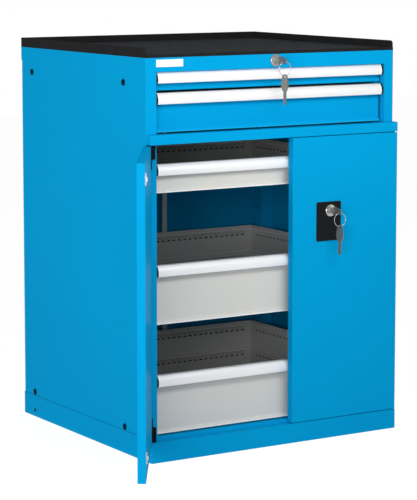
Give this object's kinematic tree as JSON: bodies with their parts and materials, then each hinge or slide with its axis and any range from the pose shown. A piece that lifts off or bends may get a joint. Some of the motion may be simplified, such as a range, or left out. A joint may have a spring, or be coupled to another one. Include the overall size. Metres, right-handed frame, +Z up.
{
  "type": "swing door machine cabinet",
  "caption": "Steel machine cabinet: drawers above a pair of hinged doors, drawers behind them, lipped top tray, central drawer lock and rod lock.",
  "frame": {"origin": "middle of the footprint, on the floor", "axes": "+Z up, front and doors face -Y, +X to the right seen from the front"},
  "size_m": [0.9466, 0.9904, 0.994],
  "materials": {
    "body_paint": "semi-gloss powder coat, light blue",
    "drawer_paint": "fine-texture powder coat, light grey",
    "tray_paint": "fine-texture powder coat, light grey",
    "black_rim": "matt black",
    "mat_rubber": "ribbed matt rubber, dark grey",
    "handle_aluminium": "silver anodised, satin",
    "cap_plastic": "matt black",
    "hinge_black": "satin black",
    "zinc_steel": "bright zinc plated",
    "nickel": "nickel plated, polished",
    "key_metal": "nickel plated, worn satin",
    "label_white": "blank white plate",
    "lock_plastic": "fine-grain black",
    "plug_plastic": "dark blue"
  },
  "bodies": {
    "cabinet": {"base_plinth": "body_paint", "left_side_panel": "body_paint", "right_side_panel": "body_paint", "back_panel": "body_paint", "top_cover": "body_paint", "top_tray": "black_rim", "top_mat": "mat_rubber", "door_frame_rail": "body_paint", "hinge_blocks": "hinge_black", "slotted_uprights": "body_paint", "cabinet_rails": "zinc_steel", "side_plugs": "plug_plastic", "label_plate": "label_white", "top_lock_case": "nickel"},
    "left_door": {"left_door_skin": "body_paint", "left_door_inner": "body_paint", "left_door_hinges": "zinc_steel", "left_door_catches": "zinc_steel"},
    "right_door": {"right_door_skin": "body_paint", "right_door_inner": "body_paint", "right_door_hinges": "zinc_steel", "door_lock_plate": "lock_plastic", "door_lock_case": "nickel"},
    "door_lock_cylinder": {"door_lock_core": "nickel", "door_key": "key_metal"},
    "door_keys": {"door_key_ring": "nickel", "door_spare_key": "key_metal"},
    "upper_rod": {"upper_lock_rod": "zinc_steel"},
    "lower_rod": {"lower_lock_rod": "zinc_steel"},
    "top_lock_cylinder": {"top_lock_core": "nickel", "top_key": "key_metal", "top_lock_shaft": "zinc_steel"},
    "top_keys": {"top_key_ring": "nickel", "top_spare_key": "key_metal"},
    "drawer_lock_bar": {"locking_bar": "zinc_steel"},
    "drawer_1": {"drawer_1_tray": "tray_paint", "drawer_1_front": "body_paint", "drawer_1_handle": "handle_aluminium", "drawer_1_end_caps": "cap_plastic"},
    "middle_rails_1": {"drawer_1_middle_rails": "zinc_steel"},
    "drawer_2": {"drawer_2_tray": "tray_paint", "drawer_2_front": "body_paint", "drawer_2_handle": "handle_aluminium", "drawer_2_end_caps": "cap_plastic"},
    "middle_rails_2": {"drawer_2_middle_rails": "zinc_steel"},
    "drawer_3": {"drawer_3_tray": "tray_paint", "drawer_3_front": "drawer_paint", "drawer_3_handle": "handle_aluminium", "drawer_3_end_caps": "cap_plastic"},
    "middle_rails_3": {"drawer_3_middle_rails": "zinc_steel"},
    "drawer_4": {"drawer_4_tray": "tray_paint", "drawer_4_front": "drawer_paint", "drawer_4_handle": "handle_aluminium", "drawer_4_end_caps": "cap_plastic"},
    "middle_rails_4": {"drawer_4_middle_rails": "zinc_steel"},
    "drawer_5": {"drawer_5_tray": "tray_paint", "drawer_5_front": "drawer_paint", "drawer_5_handle": "handle_aluminium", "drawer_5_end_caps": "cap_plastic"},
    "middle_rails_5": {"drawer_5_middle_rails": "zinc_steel"}
  },
  "joints": [
    {"name": "left_door_swing", "type": "hinge", "parent": "cabinet", "child": "left_door", "pos_m": [-0.358, -0.31905, 0], "axis": [0, 0, -1], "range_deg": [-122.4, 0.6]},
    {"name": "right_door_swing", "type": "hinge", "parent": "cabinet", "child": "right_door", "pos_m": [0.358, -0.31905, 0], "axis": [0, 0, 1], "range_deg": [0, 123]},
    {"name": "door_lock_turn", "type": "hinge", "parent": "right_door", "child": "door_lock_cylinder", "pos_m": [0.1536, -0.33955, 0.5778], "axis": [0, -1, 0], "range_deg": [0, 90], "deforming": ["door_key_ring"]},
    {"name": "door_keys_hang", "type": "hinge", "parent": "door_lock_cylinder", "child": "door_keys", "pos_m": [0.1536, -0.37755, 0.5778], "axis": [0, -1, 0], "range_deg": [-90, 0]},
    {"name": "upper_rod_slide", "type": "slide", "parent": "right_door", "child": "upper_rod", "axis": [0, 0, 1], "range_m": [0, 0.0126]},
    {"name": "lower_rod_slide", "type": "slide", "parent": "right_door", "child": "lower_rod", "axis": [0, 0, -1], "range_m": [0, 0.0126]},
    {"name": "top_lock_turn", "type": "hinge", "parent": "cabinet", "child": "top_lock_cylinder", "pos_m": [0.004, -0.31555, 0.9545], "axis": [0, 1, 0], "range_deg": [0, 90], "deforming": ["top_key_ring"]},
    {"name": "top_keys_hang", "type": "hinge", "parent": "top_lock_cylinder", "child": "top_keys", "pos_m": [0.004, -0.35255, 0.9545], "axis": [0, 1, 0], "range_deg": [-90, 0]},
    {"name": "lock_bar_drop", "type": "slide", "parent": "cabinet", "child": "drawer_lock_bar", "axis": [0, 0, -1], "range_m": [0, 0.0101]},
    {"name": "drawer_1_slide", "type": "slide", "parent": "cabinet", "child": "drawer_1", "axis": [0, -1, 0], "range_m": [0, 0.54], "deforming": ["top_key_ring", "top_spare_key"]},
    {"name": "middle_rails_1_slide", "type": "slide", "parent": "cabinet", "child": "middle_rails_1", "axis": [0, -1, 0], "range_m": [0, 0.27]},
    {"name": "drawer_2_slide", "type": "slide", "parent": "cabinet", "child": "drawer_2", "axis": [0, -1, 0], "range_m": [0, 0.54], "deforming": ["top_key_ring", "top_spare_key"]},
    {"name": "middle_rails_2_slide", "type": "slide", "parent": "cabinet", "child": "middle_rails_2", "axis": [0, -1, 0], "range_m": [0, 0.27]},
    {"name": "drawer_3_slide", "type": "slide", "parent": "cabinet", "child": "drawer_3", "axis": [0, -1, 0], "range_m": [0, 0.004]},
    {"name": "middle_rails_3_slide", "type": "slide", "parent": "cabinet", "child": "middle_rails_3", "axis": [0, -1, 0], "range_m": [0, 0.002]},
    {"name": "drawer_4_slide", "type": "slide", "parent": "cabinet", "child": "drawer_4", "axis": [0, -1, 0], "range_m": [0, 0.004]},
    {"name": "middle_rails_4_slide", "type": "slide", "parent": "cabinet", "child": "middle_rails_4", "axis": [0, -1, 0], "range_m": [0, 0.002]},
    {"name": "drawer_5_slide", "type": "slide", "parent": "cabinet", "child": "drawer_5", "axis": [0, -1, 0], "range_m": [0, 0.004]},
    {"name": "middle_rails_5_slide", "type": "slide", "parent": "cabinet", "child": "middle_rails_5", "axis": [0, -1, 0], "range_m": [0, 0.002]}
  ],
  "couplings": [
    {"joint": "door_keys_hang", "follows": "door_lock_turn", "ratio": -1},
    {"joint": "upper_rod_slide", "follows": "door_lock_turn", "m_per_rad": 0.008},
    {"joint": "lower_rod_slide", "follows": "door_lock_turn", "m_per_rad": 0.008},
    {"joint": "top_keys_hang", "follows": "top_lock_turn", "ratio": -1},
    {"joint": "lock_bar_drop", "follows": "top_lock_turn", "m_per_rad": 0.0063662},
    {"joint": "middle_rails_1_slide", "follows": "drawer_1_slide", "ratio": 0.5},
    {"joint": "middle_rails_2_slide", "follows": "drawer_2_slide", "ratio": 0.5},
    {"joint": "middle_rails_3_slide", "follows": "drawer_3_slide", "ratio": 0.5},
    {"joint": "middle_rails_4_slide", "follows": "drawer_4_slide", "ratio": 0.5},
    {"joint": "middle_rails_5_slide", "follows": "drawer_5_slide", "ratio": 0.5}
  ]
}
